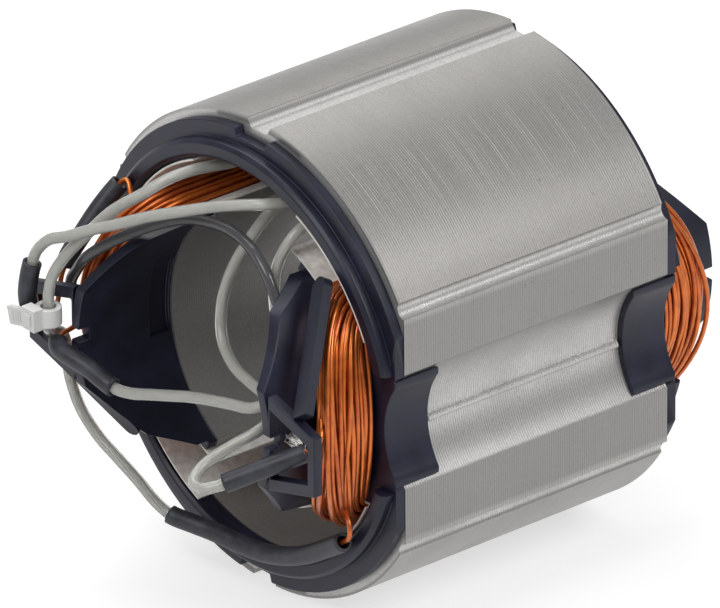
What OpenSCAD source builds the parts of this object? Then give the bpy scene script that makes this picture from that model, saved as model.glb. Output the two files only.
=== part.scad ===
// Two-pole stator of a universal motor: a laminated steel stack with two salient poles,
// moulded end insulators, two wound coils, slot liners, sleeved splices and connecting leads.
// The stack lies on its bottom arc. X runs through the poles, Y along the bore, Z up.

/* [Lamination stack] */
// Length of the lamination stack along the bore
stack_len = 59.5; // [50:0.5:72]
// Radius of the round outside of the laminations
stack_r = 45; // [43.5:0.25:54]
// Distance from the bore axis to each flat behind a pole
flat_x = 39.25; // [38:0.25:40.5]
// Radius of the rotor bore between the pole shoes
bore_r = 25.25; // [24:0.05:26]
// Half of the angle that one pole shoe covers
pole_half_angle = 60.5; // [54:0.5:64]
// Thickness of a pole shoe behind the bore, on the pole axis
shoe_t = 3.6; // [3:0.1:4.2]
// How far the shoe's back is off centre, which thins the shoe towards its tips
shoe_shift = 2.5; // [1:0.1:3]
// Half of the height of the pole's neck
neck_half = 16; // [13:0.25:18]
// Radius of the inside of the yoke
yoke_r = 36.5; // [36:0.1:38]

/* [Grooves in the stack] */
// Width of the keying notch at the top and the bottom
notch_w = 6.2; // [4:0.1:8]
// Depth of the keying notch
notch_d = 1.8; // [1:0.1:2.4]
// Radius of the groove between the round outside and a flat
corner_groove_r = 1.75; // [1:0.05:2.2]
// Width of the screw channel in each flat
channel_w = 22.3; // [16:0.1:24]
// Depth of the screw channel
channel_d = 4.4; // [3:0.1:5]
// Radius of the weld bead along the channel
bead_r = 0.8; // [0.5:0.05:1]
// Height of the weld bead from the pole axis
bead_z = -1.5; // [-3:0.1:3]

/* [End insulators] */
// Thickness of the insulator's plate on the stack's end
plate_t = 2; // [1.5:0.1:2.5]
// Width of bare steel left round the plate
rim_w = 1.7; // [1:0.1:2.5]
// Height of the raised lip on the plate
lip_h = 2.2; // [1.5:0.1:3]
// Radial width of the raised lip
lip_w = 3.4; // [2.5:0.1:3.8]
// Half of the height over which the lip is left out behind a pole
lip_gap_half = 11.5; // [10:0.25:13]
// Thickness of the guard wall beside the bore
guard_t = 2; // [1.6:0.1:2.4]
// Height of the guard wall above the stack's end
guard_h = 20.5; // [18:0.25:22]
// Half of the width of the guard wall's outer end
guard_end_half = 9.3; // [7:0.1:11]
// Half of the width of the guard wall at its shoulder
guard_shoulder_half = 19; // [17:0.25:20]
// Height of the guard wall's shoulder above the stack's end
guard_shoulder_h = 12; // [9:0.25:14]
// Half of the width of the guard wall at its foot
guard_foot_half = 22; // [21:0.25:22.4]
// Height of the guard wall's upright foot above the stack's end
guard_foot_h = 4.2; // [3:0.1:6]
// Width and depth of the wire notch in the guard wall's outer end
wire_notch_w = 2.4; // [1.6:0.1:3]
// Thickness of the tongue that grips the screw channel
tongue_t = 1.2; // [0.8:0.1:1.6]
// Length of the tongue along the stack
tongue_len = 7.75; // [5:0.25:10]
// Half of the height of the tongue
tongue_half = 10.3; // [8:0.1:10.6]

/* [Wire guides] */
// Reach of the guide frame from the guard wall over the coil
frame_reach = 12; // [10:0.25:13]
// Half of the height of the guide frame's outer end
frame_tip_half = 5.6; // [4.5:0.1:7]
// Width of the guide frame's bars
frame_bar = 1.9; // [1.5:0.1:2.5]
// Thickness of the finger that holds the end turn down
finger_t = 1.8; // [1.2:0.1:2.2]
// Width of the finger
finger_w = 4; // [2.4:0.1:4.4]
// Width of the rim along the left-hand guard wall
rim_bar_w = 3.2; // [2.4:0.1:3.6]

/* [Windings and liners] */
// Height of the coil's end turn above the stack's end
coil_h = 13.7; // [12:0.1:15]
// Half of the height of the coil where it leaves the slots
coil_half = 23.5; // [20:0.25:25]
// Radial thickness of the coil's end turn
coil_t = 6.4; // [5:0.1:6.8]
// Diameter of the enamelled winding wire
wire_d = 1; // [0.8:0.05:1.1]
// Thickness of the slot liner paper
liner_t = 0.35; // [0.2:0.05:0.5]
// Height of the liner's cuff above the end insulator's plate
liner_cuff = 1.4; // [0.5:0.1:2.5]

/* [Leads] */
// Outer diameter of a connecting lead
lead_d = 2.1; // [1.7:0.05:2.2]
// Diameter of the lead's stranded core
core_d = 1.2; // [0.9:0.05:1.4]
// Outer diameter of a splice sleeve
sleeve_d = 3.5; // [3.2:0.05:3.6]
// Wall of a splice sleeve
sleeve_wall = 0.55; // [0.4:0.05:0.6]
// Width of the cable tie's strap
tie_w = 3.4; // [2.5:0.1:3.6]
// Thickness of the cable tie's strap
tie_t = 1; // [0.8:0.1:1.2]

/* [Hidden] */
$fn = 96;

steel = [0.68, 0.67, 0.65];
black_plastic = [0.13, 0.14, 0.17];
enamelled_copper = [0.8, 0.42, 0.18];
liner_paper = [0.78, 0.75, 0.71];
silicone = [0.85, 0.84, 0.78];
tinned = [0.78, 0.78, 0.76];
nylon = [0.92, 0.92, 0.9];

// Clearance between pieces that are pushed together by hand
seat_gap = 0.1;
// Clearance between the winding and the plate under it
coil_gap = 0.3;
// Clearance between the winding and the guard wall
coil_back_gap = 0.8;
// Clearance between the lip and what it surrounds
lip_gap = 0.4;
// How far pieces that are moulded or wound as one reach into each other
sink = 0.5;
// How far cuts reach past the face that they open
over = 1;
face = stack_len / 2;
plate_top = face + plate_t;
lip_top = plate_top + lip_h;
channel_r = (channel_w * channel_w / 4 + channel_d * channel_d) / (2 * channel_d);
channel_x = flat_x - channel_d + channel_r;
shoe_back_r = bore_r + shoe_t - shoe_shift;
// How far the plastic stands back from the bore
bore_setback = 0.35;
guard_r = bore_r + bore_setback;
guard_back_r = guard_r + guard_t;
coil_in_r = guard_back_r + coil_back_gap;
coil_out_r = coil_in_r + coil_t;
// Half of the height of the coil in the slots
coil_side_half = 0.985 * coil_half;
lip_in_r = max(yoke_r, coil_out_r) + lip_gap;
sleeve_r = sleeve_d / 2;
sleeve_in_r = sleeve_r - sleeve_wall;
lead_r = lead_d / 2;
core_r = core_d / 2;

// Points below are given as pole axis, height, distance along the bore towards the front end.
module stand() { rotate([90, 0, 0]) children(); }

// Routes of the sleeves, tails and leads, in round numbers

sleeve_1_route = [
  [-35, 1, 52.1], [-35.7, 2.8, 53], [-36, 5.5, 53.3], [-35.9, 8.5, 53], [-35.6, 11.4, 52.4]
];
sleeve_2_route = [
  [-29.7, -1.9, 51.6], [-28, -2.5, 52.6], [-24.8, -3, 52.4], [-21.4, -3.9, 51.6], [-16.2, -6.4, 50]
];
sleeve_3_route = [[33, -0.5, 46.5], [30.9, -1.9, 49], [26.1, -5.1, 55], [24, -6.5, 57.5]];
sleeve_4_route = [
  [30.5, -22.5, 36.5], [26, -25.6, 36.1], [19, -30, 35.9], [12, -33, 35.9], [5, -34.5, 36.2],
  [-5, -34.5, 37.5], [-9, -34.2, 38.7], [-13.5, -33.8, 40]
];
tail_sleeve_route = [
  [-32, 22.8, 35.4], [-33.2, 18.8, 39], [-34, 14.2, 42.6], [-34.5, 11.2, 44.9], [-34.7, 9.2, 45.8]
];
tail_1_route = [
  [-28, 19.5, 35.5], [-29.4, 22, 35.2], [-30.8, 23.6, 34.8], [-32, 22.8, 35.4], [-33.2, 18.8, 39],
  [-34, 14.2, 42.6], [-34.5, 11.2, 44.9], [-34.7, 9.2, 45.8], [-35.2, 7, 46.3], [-35.2, 4.6, 46.8],
  [-34.7, 1.9, 47.9], [-34.2, 0.3, 49.6], [-35, 1, 52.1], [-35.7, 2.8, 53]
];
tail_2_route = [
  [-30.3, 0, 42.5], [-29.9, -0.2, 46], [-30, -0.8, 49], [-30.1, -1.3, 50.6], [-29.7, -1.9, 51.6],
  [-28, -2.5, 52.6], [-24.8, -3, 52.4]
];
tail_3_route = [[31.5, 3.5, 42], [33.5, 2.6, 43.6], [34.2, 0.6, 45], [33, -0.5, 46.5], [30.9, -1.9, 49]];
tail_4_route = [
  [29.3, -16.5, 35.5], [31.9, -18.2, 36.4], [32.4, -20.6, 36.7], [30.5, -22.5, 36.5], [26, -25.6, 36.1],
  [19, -30, 35.9], [12, -33, 35.9], [5, -34.5, 36.2]
];
lead_1_route = [
  [-35.9, 8.5, 53], [-35.6, 11.4, 52.4], [-34.6, 14.1, 52], [-32, 16.9, 51.3], [-28, 18.8, 50.4],
  [-23.5, 21.2, 48.4], [-19, 23.3, 46.4], [-13.5, 26, 43.5], [-7.5, 28.4, 40.5], [-2, 30.6, 38.2],
  [3, 32.2, 36.2], [6.6, 33, 34], [8.3, 32.9, 30.5], [8.5, 32.5, 26], [8.5, 32.5, -26],
  [8, 32.3, -30.5], [5.5, 32, -34.5], [1.5, 31.8, -37], [-3, 31.5, -38]
];
lead_2_route = [
  [-21.4, -3.9, 51.6], [-16.2, -6.4, 50], [-12.3, -6.2, 49.3], [-8.3, -5.1, 48.5], [-3.8, -3.8, 47.7],
  [0.9, -2.4, 47], [6.8, -0.8, 46.7], [12.7, 0.6, 46.5], [17.3, 1.6, 46.1], [20.3, 3.6, 45.2],
  [21.3, 6.8, 43.7], [20.4, 10.2, 42], [17.6, 13, 40], [14.6, 15.8, 38.2], [12.4, 19.2, 36.8],
  [11.4, 23, 35.4], [12, 26.8, 33.6], [12.6, 29.6, 30.8], [12.8, 30.5, 26], [12.8, 30.5, -26],
  [12, 30.3, -31], [10, 29.4, -35], [6.5, 28.3, -38], [2.5, 27.8, -39.5]
];
lead_3_route = [
  [26.1, -5.1, 55], [24, -6.5, 57.5], [23.4, -6.9, 58.2], [21, -7.9, 59.9], [18.2, -7.9, 59.6],
  [16.6, -6.8, 57], [16.9, -5.3, 53.7], [18.5, -3.3, 50.6], [20.2, -1.5, 47.6], [20.3, -0.1, 44.6],
  [18.4, 0.9, 42.2], [14.5, 1.4, 40.9], [9.5, 1.5, 40], [4.5, 2, 39.2], [0.5, 3.7, 38.2],
  [-2.2, 6.3, 37], [-3.5, 10.5, 35.6], [-2.8, 15.5, 34.6], [-0.5, 20.5, 34], [2.4, 25.4, 33.2],
  [3.8, 29, 31], [4, 30.5, 27], [4, 30.5, -26], [3, 30.3, -31], [0, 30, -34.5], [-4.5, 29.2, -36.8]
];
lead_4_route = [
  [-9, -34.2, 38.7], [-13.5, -33.8, 40], [-16.3, -32, 41.1], [-19.6, -28.9, 42.2], [-23.9, -25.6, 43.4],
  [-28.2, -22.8, 44.2], [-32.2, -18.6, 44.9], [-34.5, -13.6, 45.3], [-34.9, -9.4, 45.6],
  [-34.7, -6.2, 46], [-34.2, -3.6, 47.2], [-33.6, -2.3, 49.2], [-32.7, -1.1, 51.2], [-31, 0.5, 52.6],
  [-30.5, 2.2, 53], [-30.5, 5, 53], [-30.5, 8, 52.8], [-30.3, 11, 51.9], [-29, 14.6, 50],
  [-26.6, 18.6, 47.4], [-22.5, 24, 44.6], [-18, 28, 41.4], [-15, 31, 38], [-12.9, 32.3, 34.6],
  [-11.6, 32.5, 31], [-11, 32.2, 27], [-11, 32, 20], [-11, 32, -26], [-11, 32, -31],
  [-11.6, 31.6, -35.5], [-13, 31, -39.5]
];
link_lead_route = [
  [-33, 2.4, 44.6], [-33, 6, 46], [-30.6, 9.8, 46.7], [-26.7, 14.3, 47], [-21.8, 18.6, 44.4],
  [-16.7, 22, 40.6], [-11, 24.6, 37.8], [-4, 26, 36.6], [3, 26.4, 36.9], [8.3, 25.4, 37.6],
  [12.4, 22.7, 38.1], [15.1, 18.8, 38.2], [18, 15.9, 38.2], [20.3, 12.6, 38.8]
];

// Radius of a soldered joint, halfway between a core and a sleeve's inside
splice_r = (sleeve_in_r + core_r) / 2;
// Length of core bared at a lead's end
core_len = 4;
// Room for the bend between a joint and the wires that it joins
splice_gap = 0.4;

// Moves a route with the stack's ends when the stack is longer or shorter than the one it is drawn for
drawn_face = 29.75;
function placed(route) = [for (p = route) [p[0], p[1], p[2] + sign(p[2]) * (face - drawn_face)]];

// Swept tubes along a list of points

function unit(v) = v / norm(v);
function tangent(p, i) =
  i == 0 ? unit(p[1] - p[0])
  : i == len(p) - 1 ? unit(p[i] - p[i - 1])
  : unit(unit(p[i + 1] - p[i]) + unit(p[i] - p[i - 1]));
function carried(n, t) = unit(n - (n * t) * t);
function frames(p, n, i = 0) =
  i == len(p) ? []
  : let (t = tangent(p, i), m = carried(n, t)) concat([[m, cross(t, m)]], frames(p, m, i + 1));
function first_normal(p) =
  let (t = tangent(p, 0)) abs(t[2]) < 0.8 ? cross(t, [0, 0, 1]) : cross(t, [1, 0, 0]);
function rings(p, r, sides) =
  let (f = frames(p, unit(first_normal(p))))
  [for (i = [0 : len(p) - 1], k = [0 : sides - 1])
    let (a = 360 * k / sides) p[i] + r * (cos(a) * f[i][0] + sin(a) * f[i][1])];

module tube(p, r, sides = 8) {
  last = (len(p) - 1) * sides;
  walls = [for (i = [0 : len(p) - 2], k = [0 : sides - 1])
    let (n = (k + 1) % sides, low = i * sides, high = low + sides) [low + k, high + k, high + n, low + n]];
  ends = [[for (k = [0 : sides - 1]) k], [for (k = [0 : sides - 1]) last + sides - 1 - k]];
  polyhedron(points = rings(p, r, sides), faces = concat(ends, walls), convexity = 6);
}

// A straight round bar between two points
module rod(a, b, r) {
  d = b - a;
  translate(a) rotate([0, acos(d[2] / norm(d)), atan2(d[1], d[0])]) cylinder(h = norm(d), r = r, $fn = 32);
}

// Flat shapes of the lamination

module ring_2d(outer, inner) {
  difference() {
    circle(r = outer);
    circle(r = inner);
  }
}

// Angular slice of the plane, half degrees either side of the right-hand pole axis
module sector_2d(half, reach = 60) {
  polygon([
    [0, 0],
    reach * [cos(half), -sin(half)],
    reach * [1, -tan(half / 2)],
    reach * [1, tan(half / 2)],
    reach * [cos(half), sin(half)]
  ]);
}

// Keying notch, widened by a margin
module notch_2d(margin = 0) {
  side_slope = 0.55;
  side_land = 0.3;
  half = notch_w / 2 + margin;
  floor_half = half - notch_d * side_slope;
  depth = notch_d + margin;
  polygon([
    [-half, stack_r + over], [-half, stack_r - side_land], [-floor_half, stack_r - depth],
    [floor_half, stack_r - depth], [half, stack_r - side_land], [half, stack_r + over]
  ]);
}

// Outside of the stack, set in by a margin on the round parts
module outline_2d(margin = 0, flat_margin = 0) {
  groove_stand_off = 0.9 * corner_groove_r;
  corner_z = sqrt(stack_r * stack_r - flat_x * flat_x) + groove_stand_off;
  difference() {
    intersection() {
      circle(r = stack_r - margin, $fn = 180);
      square([2 * (flat_x - flat_margin), 3 * stack_r], center = true);
    }
    for (turn = [0, 180]) rotate(turn) {
      notch_2d(margin);
      translate([channel_x, 0]) circle(r = channel_r - flat_margin);
      for (side = [-1, 1]) translate([flat_x, side * corner_z]) circle(r = corner_groove_r, $fn = 32);
    }
  }
}

module shoe_back_2d(gap = 0) { translate([shoe_shift, 0]) circle(r = shoe_back_r + gap); }

// One pole: neck and shoe, set in by a gap
module pole_2d(gap = 0, bore_gap = 0) {
  intersection() {
    union() {
      square([yoke_r + 2, neck_half - gap]);
      mirror([0, 1]) square([yoke_r + 2, neck_half - gap]);
      intersection() {
        shoe_back_2d(-gap);
        sector_2d(pole_half_angle - gap * 2);
      }
    }
    difference() {
      circle(r = yoke_r + 1);
      circle(r = bore_r + bore_gap);
    }
  }
}

// Opening through the stack: bore and the four slots, widened by a gap
module opening_2d(gap = 0, bore_gap = 0) {
  difference() {
    circle(r = yoke_r + gap);
    for (turn = [0, 180]) rotate(turn) pole_2d(gap, bore_gap);
  }
}

// Upper right slot, set in by a gap from the steel and open towards the gap between the poles
module slot_2d(gap) {
  past_shoe = 6.5;
  intersection() {
    difference() {
      circle(r = yoke_r - gap);
      shoe_back_2d(gap);
    }
    translate([0, neck_half + gap]) square([yoke_r, yoke_r]);
    sector_2d(pole_half_angle + past_shoe);
  }
}

// Steel stack

module lamination_stack() color(steel) stand() {
  linear_extrude(stack_len, center = true) difference() {
    outline_2d();
    opening_2d();
  }
  bead_x = channel_x - sqrt(channel_r * channel_r - bead_z * bead_z);
  bead_end_gap = 0.5;
  bead_len = stack_len - 2 * (tongue_len + bead_end_gap);
  for (turn = [0, 180]) rotate(turn)
    translate([bead_x, turn == 0 ? bead_z : -bead_z, -bead_len / 2])
      cylinder(h = bead_len, r = bead_r, $fn = 32);
}

// Parts of an end insulator, drawn on the front end of the stack

module plate() {
  translate([0, 0, face]) linear_extrude(plate_t) difference() {
    outline_2d(rim_w, seat_gap);
    opening_2d(seat_gap, bore_setback);
  }
}

module lip() {
  chamfer = 0.7;
  out_r = lip_in_r + lip_w;
  difference() {
    rotate_extrude($fn = 180) polygon([
      [lip_in_r, plate_top - sink], [out_r, plate_top - sink], [out_r, lip_top - chamfer],
      [out_r - chamfer, lip_top], [lip_in_r + chamfer, lip_top], [lip_in_r, lip_top - chamfer]
    ]);
    translate([0, 0, face]) cube([3 * stack_r, 2 * lip_gap_half, 4 * lip_top], center = true);
  }
}

// Wall between the bore and the coil, with a wire notch in its outer end
module guard_wall() {
  top = face + guard_h;
  shoulder = face + guard_shoulder_h;
  foot = face + guard_foot_h;
  intersection() {
    translate([0, 0, face + plate_t / 2]) linear_extrude(guard_h) ring_2d(guard_back_r, guard_r);
    rotate([90, 0, 90]) linear_extrude(stack_r) polygon([
      [-guard_foot_half, face], [-guard_foot_half, foot], [-guard_shoulder_half, shoulder],
      [-guard_end_half, top], [-wire_notch_w / 2, top], [-wire_notch_w / 2, top - wire_notch_w],
      [wire_notch_w / 2, top - wire_notch_w], [wire_notch_w / 2, top], [guard_end_half, top],
      [guard_shoulder_half, shoulder], [guard_foot_half, foot], [guard_foot_half, face]
    ]);
  }
}

// Concave tongue that grips the screw channel
module tongue() {
  translate([0, 0, face - tongue_len]) linear_extrude(tongue_len + plate_t) intersection() {
    translate([channel_x, 0]) ring_2d(channel_r - seat_gap, channel_r - seat_gap - tongue_t);
    translate([0, -tongue_half]) square([flat_x - seat_gap, 2 * tongue_half]);
  }
}

// Open frame that carries the splices in front of the coil
module guide_frame() {
  inner_x = guard_back_r - sink;
  tip_x = guard_back_r + frame_reach;
  root_step = 0.2;
  root = guard_end_half - root_step;
  bar = frame_bar;
  root_bar = 1.3 * frame_bar;
  translate([0, 0, face + guard_h - frame_bar]) linear_extrude(frame_bar) difference() {
    polygon([[inner_x, -root], [tip_x, -frame_tip_half], [tip_x, frame_tip_half], [inner_x, root]]);
    polygon([
      [guard_back_r, -root + root_bar], [tip_x - bar, -frame_tip_half + bar],
      [tip_x - bar, frame_tip_half - bar], [guard_back_r, root - root_bar]
    ]);
  }
}

// Flat bar between two points, with a rounded tip
module bar_between(root, tip, width) {
  reach = tip - root;
  straight = norm(reach) - width / 2;
  translate(root) rotate([0, acos(reach[2] / norm(reach)), atan2(reach[1], reach[0])])
    translate([-finger_t / 2, 0, 0]) rotate([90, 0, 90]) linear_extrude(finger_t) {
      translate([-width / 2, 0]) square([width, straight]);
      translate([0, straight]) circle(d = width, $fn = 32);
    }
}

// Finger that reaches from the right-hand guide frame over one half of the end turn
module winding_finger() {
  root_out = 8;
  root_side = 2.6;
  tip_in = 4;
  tip_side = 2.1;
  tip_h = 5;
  bar_between(
    [guard_back_r + root_out, frame_tip_half + root_side, face + guard_h - frame_bar / 2],
    [guard_back_r - tip_in, coil_half + tip_side, face + tip_h],
    finger_w
  );
}

// Rim along the sloping edge of the left-hand guard wall, where a splice rests
module wall_rim() {
  root_out = 1.3;
  root_half = 5.1;
  root_up = 0.75;
  edge_up = 0.2;
  half = guard_shoulder_half + edge_up;
  mid_r = (guard_r + guard_back_r) / 2 + finger_t / 2;
  rotate(180) bar_between(
    [guard_back_r + root_out, root_half, face + guard_h + root_up],
    [sqrt(mid_r * mid_r - half * half), half, face + guard_shoulder_h],
    rim_bar_w
  );
}

// Shallow recess across the foot of a guard wall, on the side of the bore
module wall_recess() {
  depth = 0.7;
  low = 0.5;
  high = 4.9;
  up = 5;
  down = 11;
  translate([0, 0, face + low]) linear_extrude(high - low) intersection() {
    ring_2d(guard_r + depth, bore_r - over);
    translate([0, -down]) square([stack_r, up + down]);
  }
}

module insulator_end() {
  lip();
  difference() {
    union() {
      plate();
      for (turn = [0, 180]) rotate(turn) guard_wall();
    }
    for (turn = [0, 180]) rotate(turn) wall_recess();
  }
  for (turn = [0, 180]) rotate(turn) tongue();
}

module front_end_insulator() color(black_plastic) stand() {
  insulator_end();
  for (turn = [0, 180]) rotate(turn) difference() {
    guide_frame();
    translate([guard_r, -wire_notch_w / 2, 0]) cube([2 * guard_t, wire_notch_w, stack_len]);
  }
  winding_finger();
  wall_rim();
}

module rear_end_insulator() color(black_plastic) stand() mirror([0, 0, 1]) insulator_end();

// Coils

// End turn on the front end: a saddle round the guard wall with an arched top
module end_turn() {
  intersection() {
    rotate_extrude($fn = 120) translate([coil_in_r, plate_top + coil_gap]) square([coil_t, coil_h]);
    translate([0, 0, face]) rotate([90, 0, 90]) linear_extrude(stack_r)
      scale([coil_half, coil_h]) circle(r = 1);
  }
}

module coil_side() {
  gap = liner_t + 2 * seat_gap;
  reach = face + plate_t + coil_gap + sink;
  translate([0, 0, -reach]) linear_extrude(2 * reach) intersection() {
    slot_2d(gap);
    ring_2d(coil_out_r, coil_in_r);
    square([stack_r, coil_side_half]);
  }
}

module coil() {
  for (side = [0, 1]) mirror([0, side, 0]) coil_side();
  for (side = [0, 1]) mirror([0, 0, side]) end_turn();
}

module left_coil() color(enamelled_copper) stand() {
  rotate(180) coil();
  tube(placed(tail_1_route), wire_d / 2);
  tube(placed(tail_2_route), wire_d / 2);
}

module right_coil() color(enamelled_copper) stand() {
  coil();
  tube(placed(tail_3_route), wire_d / 2);
  tube(placed(tail_4_route), wire_d / 2);
}

// Slot liners: paper folded round three sides of each slot

module liner_2d() {
  difference() {
    slot_2d(seat_gap / 2);
    slot_2d(seat_gap / 2 + liner_t);
  }
}

// The side along the yoke stands up as a cuff beside the end turn
module slot_liner() {
  linear_extrude(2 * plate_top, center = true) liner_2d();
  linear_extrude(2 * (plate_top + liner_cuff), center = true) intersection() {
    liner_2d();
    ring_2d(yoke_r, yoke_r - seat_gap / 2 - liner_t);
  }
}

module slot_liner_upper_right() color(liner_paper) stand() slot_liner();
module slot_liner_upper_left() color(liner_paper) stand() mirror([1, 0, 0]) slot_liner();
module slot_liner_lower_left() color(liner_paper) stand() rotate(180) slot_liner();
module slot_liner_lower_right() color(liner_paper) stand() mirror([0, 1, 0]) slot_liner();

// Splices, sleeves and leads

module sleeve(route) {
  past_end = 0.6;
  last = len(route) - 1;
  inner = [for (i = [0 : last])
    i == 0 ? route[0] - past_end * tangent(route, 0)
    : i == last ? route[last] + past_end * tangent(route, last)
    : route[i]];
  difference() {
    tube(route, sleeve_r, 12);
    tube(inner, sleeve_in_r, 12);
  }
}

module lead_core(route) {
  last = len(route) - 1;
  rod(route[last], route[last] + core_len * tangent(route, last), core_r);
}

module splice_sleeve_1() color(black_plastic) stand() sleeve(placed(sleeve_1_route));
module splice_sleeve_2() color(black_plastic) stand() sleeve(placed(sleeve_2_route));
module splice_sleeve_3() color(black_plastic) stand() sleeve(placed(sleeve_3_route));
module splice_sleeve_4() color(black_plastic) stand() sleeve(placed(sleeve_4_route));
module tail_sleeve() color(black_plastic) stand() sleeve(placed(tail_sleeve_route));

// Soldered joint between two points of a sleeve's route
module splice(route, first, last) {
  p = [for (i = [first : last]) route[i]];
  end = len(p) - 1;
  tube([for (i = [0 : end])
    p[i] + (i == 0 ? splice_gap : i == end ? -splice_gap : 0) * tangent(p, i)], splice_r);
}

module splice_1() color(tinned) stand() splice(placed(sleeve_1_route), 1, 3);
module splice_2() color(tinned) stand() splice(placed(sleeve_2_route), 2, 3);
module splice_3() color(tinned) stand() splice(placed(sleeve_3_route), 1, 2);
module splice_4() color(tinned) stand() splice(placed(sleeve_4_route), 4, 6);

module lead_1() color(silicone) stand() tube(placed(lead_1_route), lead_r);
module lead_2() color(silicone) stand() tube(placed(lead_2_route), lead_r);
module lead_3() color(silicone) stand() tube(placed(lead_3_route), lead_r);
module lead_4() color(silicone) stand() tube(placed(lead_4_route), lead_r);
module link_lead() color(silicone) stand() tube(placed(link_lead_route), lead_r);

module lead_core_1() color(tinned) stand() lead_core(placed(lead_1_route));
module lead_core_2() color(tinned) stand() lead_core(placed(lead_2_route));
module lead_core_3() color(tinned) stand() lead_core(placed(lead_3_route));
module lead_core_4() color(tinned) stand() lead_core(placed(lead_4_route));

// Cable tie closed round the fourth lead, with a flat head and its tail pulled through sideways

module cable_tie() color(nylon) stand() {
  centre = placed([[-30.5, 3.4, 53]])[0];
  loop_gap = 0.35;
  loop_in_r = lead_r + loop_gap;
  loop_out_r = loop_in_r + tie_t;
  head_side = 0.4;
  head = [3.4, tie_w + 2 * head_side, 2.2];
  head_past = 1;
  tail_len = 7.4;
  tail_tilt = 14;
  translate(centre) {
    rotate([90, 0, 0]) linear_extrude(tie_w, center = true) ring_2d(loop_out_r, loop_in_r);
    translate([head_past - head[0], -head[1] / 2, loop_out_r - sink]) cube(head);
    translate([0, 0, loop_out_r]) rotate(180 + tail_tilt) translate([0, -tie_w / 2, 0])
      cube([tail_len, tie_w, tie_t]);
  }
}

lamination_stack();
front_end_insulator();
rear_end_insulator();
left_coil();
right_coil();
slot_liner_upper_right();
slot_liner_upper_left();
slot_liner_lower_left();
slot_liner_lower_right();
splice_sleeve_1();
splice_sleeve_2();
splice_sleeve_3();
splice_sleeve_4();
tail_sleeve();
splice_1();
splice_2();
splice_3();
splice_4();
lead_1();
lead_2();
lead_3();
lead_4();
link_lead();
lead_core_1();
lead_core_2();
lead_core_3();
lead_core_4();
cable_tie();
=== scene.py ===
"""Dresses the motor stator: laminations, moulded insulators, wound coils, leads and studio."""

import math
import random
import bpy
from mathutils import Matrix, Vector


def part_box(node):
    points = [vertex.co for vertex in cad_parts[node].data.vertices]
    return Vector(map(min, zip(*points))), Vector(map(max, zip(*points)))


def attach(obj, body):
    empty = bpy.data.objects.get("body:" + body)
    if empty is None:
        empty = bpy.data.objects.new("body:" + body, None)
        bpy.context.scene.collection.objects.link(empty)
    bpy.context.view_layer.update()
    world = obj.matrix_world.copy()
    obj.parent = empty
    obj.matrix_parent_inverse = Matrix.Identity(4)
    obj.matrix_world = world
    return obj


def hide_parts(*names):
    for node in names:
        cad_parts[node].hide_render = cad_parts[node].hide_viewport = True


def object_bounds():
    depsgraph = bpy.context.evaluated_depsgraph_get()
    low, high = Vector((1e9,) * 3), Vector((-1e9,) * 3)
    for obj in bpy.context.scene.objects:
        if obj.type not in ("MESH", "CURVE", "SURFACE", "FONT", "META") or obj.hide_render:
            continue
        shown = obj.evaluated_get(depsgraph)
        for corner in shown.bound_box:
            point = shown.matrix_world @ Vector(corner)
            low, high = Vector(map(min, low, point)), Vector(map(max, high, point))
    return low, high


bl_info = {
    "name": "Motor Stator",
    "version": (1, 0, 0),
    "blender": (4, 5, 0),
    "location": "View3D > Sidebar > Stator",
    "description": "Builds the visible pieces of a motor stator round its measured frame",
    "category": "Object",
}

import bmesh
import bpy
from bpy.props import FloatProperty, FloatVectorProperty, IntProperty, PointerProperty
from mathutils import Matrix, Vector
from mathutils.geometry import interpolate_bezier

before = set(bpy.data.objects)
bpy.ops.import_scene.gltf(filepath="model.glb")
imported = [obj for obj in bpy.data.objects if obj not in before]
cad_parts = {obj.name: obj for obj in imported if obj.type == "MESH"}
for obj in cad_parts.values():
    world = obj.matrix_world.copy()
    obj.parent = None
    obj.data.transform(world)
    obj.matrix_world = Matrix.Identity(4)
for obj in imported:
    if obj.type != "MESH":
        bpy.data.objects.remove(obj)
CAD_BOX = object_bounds()

MM = 0.001
BODY = "root"
# Width in pixels that the camera's focal length is counted in
PHOTO_WIDTH = 720
# Distances in metres under which points are one point, and a face lies flush with the stack's end
MERGED, FLUSH = 1e-6, 1e-5
# Angle from which an edge is sharp, the room that its rounding needs as a multiple of the rounding's width,
# and the shortest edge of a moulding that is kept, in millimetres
SHARP_EDGE = math.radians(35)
EDGE_ROOM = 2.2
LEAST_EDGE = 0.05
# Seeds of the random draws
SHEET_SEED, COIL_SEED, TONE_SEED, FRAY_SEED = 3, 40, 7, 11

# Lowest and highest corner of the stack and half of its length, from the frame
STACK_LOW, STACK_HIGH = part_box("lamination_stack")
HALF_STACK = (STACK_HIGH[1] - STACK_LOW[1]) / 2

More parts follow.
